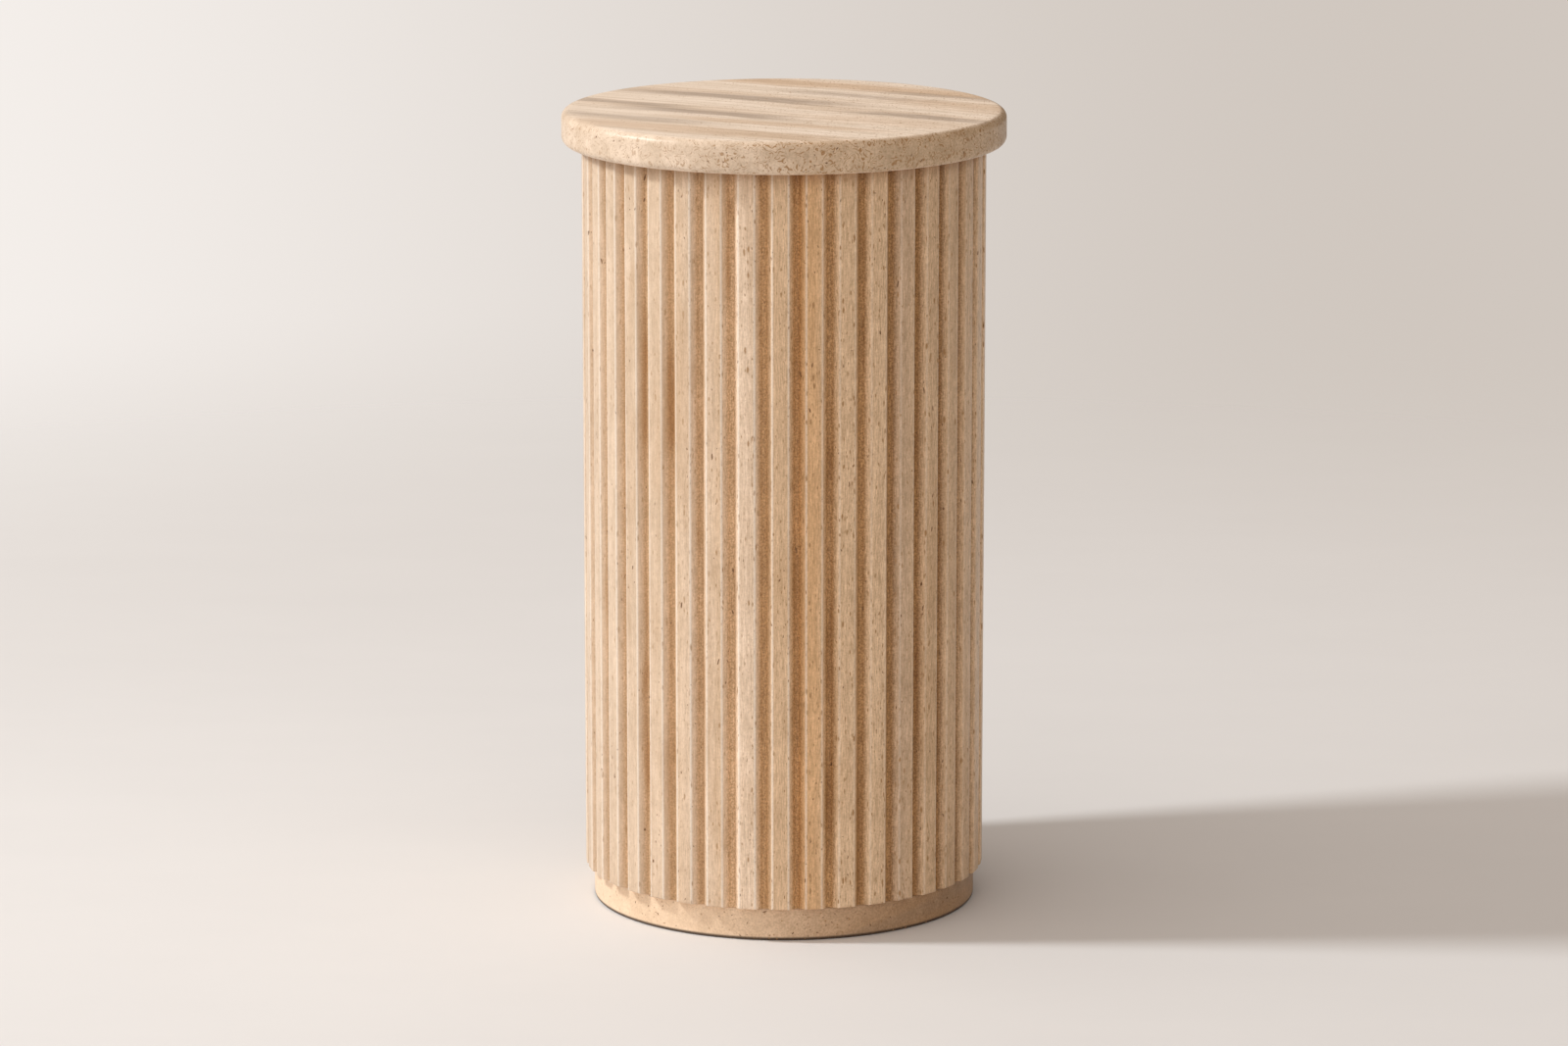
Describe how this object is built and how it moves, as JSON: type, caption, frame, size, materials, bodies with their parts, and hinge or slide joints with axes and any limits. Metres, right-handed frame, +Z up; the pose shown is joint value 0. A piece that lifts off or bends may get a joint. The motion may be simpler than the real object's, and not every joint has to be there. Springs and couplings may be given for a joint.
{
  "type": "fluted pedestal column",
  "caption": "Round stone pedestal: a ribbed drum with straight grooves under an overhanging slab with rounded edges, on a plain plinth set back from the ribs. Made to stand things on.",
  "frame": {"origin": "centre of the plinth's underside, on the floor", "axes": "+Z up along the column's axis; -Y to the front, where the middle of a rib faces; +X to the right"},
  "size_m": [0.4, 0.4, 0.725],
  "materials": {
    "slab_stone": "honed travertine with long streaks across the top and pitted, cloudy rim",
    "shaft_stone": "honed travertine with its grain upright and small open pits",
    "plinth_stone": "honed travertine, cloudy, with small open pits"
  },
  "bodies": {
    "root": {"top_slab": "slab_stone", "fluted_shaft": "shaft_stone", "base_plinth": "plinth_stone"}
  },
  "joints": []
}
